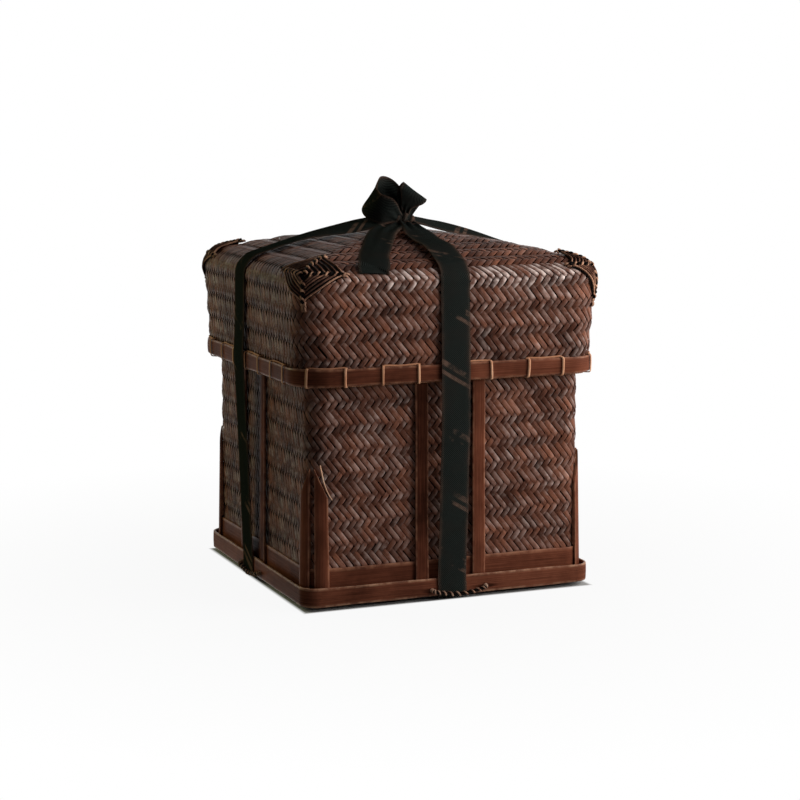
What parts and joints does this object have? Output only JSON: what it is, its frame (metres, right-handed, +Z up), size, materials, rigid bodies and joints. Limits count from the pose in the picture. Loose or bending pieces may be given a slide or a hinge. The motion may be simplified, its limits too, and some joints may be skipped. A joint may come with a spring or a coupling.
{
  "type": "tea set basket",
  "caption": "Square woven bamboo tea set basket with a deep lift-off lid, cane-lashed rim, bound lid corners and standing slats, tied crosswise with a flat ribbon and a bow.",
  "frame": {"origin": "on the table under the middle of the basket", "axes": "+Z up, -Y towards the front face that carries the ribbon and the knot's loop, +X to its right"},
  "size_m": [0.2466, 0.2466, 0.3049],
  "materials": {
    "woven_bamboo": "dark stained, waxed",
    "split_bamboo": "dark stained, satin",
    "cane": "satin",
    "ribbon": "matt woven ribbon"
  },
  "bodies": {
    "basket_body": {"body_weave_shell": "woven_bamboo", "body_mouth_outer_hoop": "split_bamboo", "body_mouth_inner_hoop": "split_bamboo", "inner_base_band": "split_bamboo", "base_hoop": "split_bamboo", "runner_front": "split_bamboo", "runner_back": "split_bamboo", "front_slat_left": "split_bamboo", "front_slat_right": "split_bamboo", "front_corner_post_left": "split_bamboo", "front_corner_post_right": "split_bamboo", "base_cane_loop_front": "cane", "ribbon_side_front": "ribbon", "right_slat_left": "split_bamboo", "right_slat_right": "split_bamboo", "right_corner_post_left": "split_bamboo", "right_corner_post_right": "split_bamboo", "base_cane_loop_right": "cane", "ribbon_side_right": "ribbon", "back_slat_left": "split_bamboo", "back_slat_right": "split_bamboo", "back_corner_post_left": "split_bamboo", "back_corner_post_right": "split_bamboo", "base_cane_loop_back": "cane", "ribbon_side_back": "ribbon", "left_slat_left": "split_bamboo", "left_slat_right": "split_bamboo", "left_corner_post_left": "split_bamboo", "left_corner_post_right": "split_bamboo", "base_cane_loop_left": "cane", "ribbon_side_left": "ribbon", "ribbon_under_front_back": "ribbon", "ribbon_under_left_right": "ribbon"},
    "basket_lid": {"lid_weave_shell": "woven_bamboo", "lid_rim_outer_hoop": "split_bamboo", "lid_rim_inner_hoop": "split_bamboo", "lid_rim_lashing": "cane", "corner_binding_front_right": "cane", "corner_binding_back_right": "cane", "corner_binding_back_left": "cane", "corner_binding_front_left": "cane", "ribbon_top_front": "ribbon", "ribbon_top_right": "ribbon", "ribbon_top_back": "ribbon", "ribbon_top_left": "ribbon", "ribbon_knot": "ribbon", "bow_loop_front": "ribbon", "bow_loop_right": "ribbon", "ribbon_tail": "ribbon"}
  },
  "joints": [
    {"name": "lid_lift", "type": "slide", "parent": "basket_body", "child": "basket_lid", "axis": [0, 0, 1], "range_m": [0, 0.09]}
  ]
}
